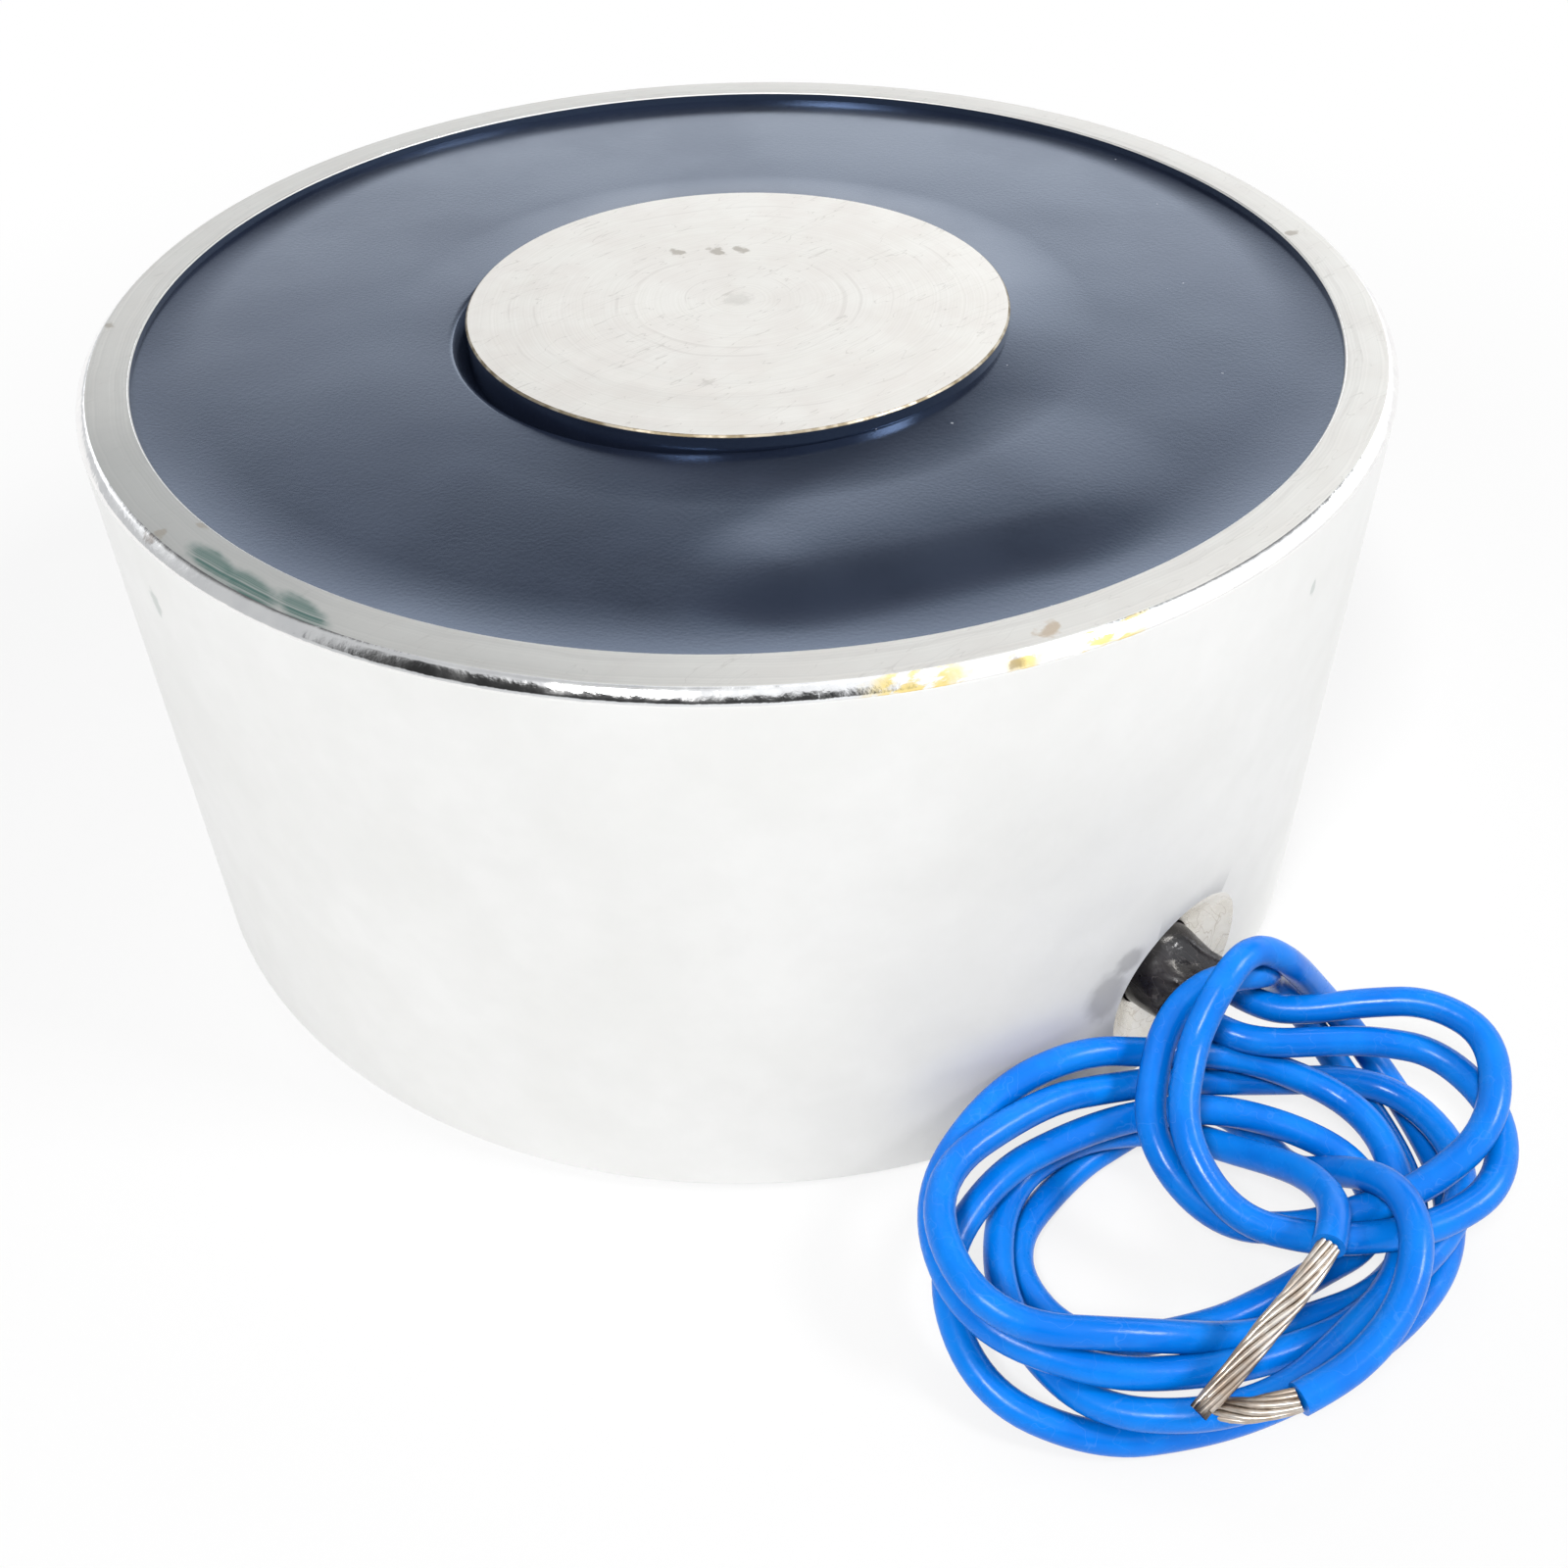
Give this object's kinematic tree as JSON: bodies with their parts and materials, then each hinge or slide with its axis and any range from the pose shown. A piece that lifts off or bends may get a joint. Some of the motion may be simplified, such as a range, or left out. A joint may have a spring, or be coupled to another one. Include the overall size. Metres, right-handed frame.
{
  "type": "round holding electromagnet",
  "caption": "Round pot-shaped lifting electromagnet: a steel shell and core round a potted coil, flat pole face up, with loose leads from the wall.",
  "frame": {"origin": "middle of the underside, where the base meets the mounting surface", "axes": "+Z along the turned axis and out of the pole face, +X towards the leads' exit in the wall"},
  "size_m": [0.1032, 0.08, 0.038],
  "materials": {
    "nickel_steel": "turned steel, bright nickel plate",
    "bobbin_nylon": "natural moulded nylon",
    "coil_copper": "enamelled copper wire",
    "coil_tape": "amber polyester tape",
    "potting_resin": "dark cast epoxy, satin gloss",
    "sleeve_black": "black insulating sleeve",
    "lead_blue": "blue insulation, glossy",
    "tinned_strand": "tinned stranded copper"
  },
  "bodies": {
    "root": {"pot_body": "nickel_steel", "coil_bobbin": "bobbin_nylon", "coil_winding": "coil_copper", "coil_tape": "coil_tape", "potting_resin": "potting_resin", "exit_sleeve": "sleeve_black", "splice_sleeve_a": "sleeve_black", "splice_sleeve_b": "sleeve_black", "coil_tail_a": "coil_copper", "coil_tail_b": "coil_copper", "lead_inner_a": "lead_blue", "lead_inner_b": "lead_blue", "lead_start_a": "lead_blue", "lead_start_b": "lead_blue", "lead_hank": "lead_blue", "lead_end_a": "lead_blue", "lead_end_b": "lead_blue", "bare_end_a": "tinned_strand", "bare_end_b": "tinned_strand"}
  },
  "joints": []
}
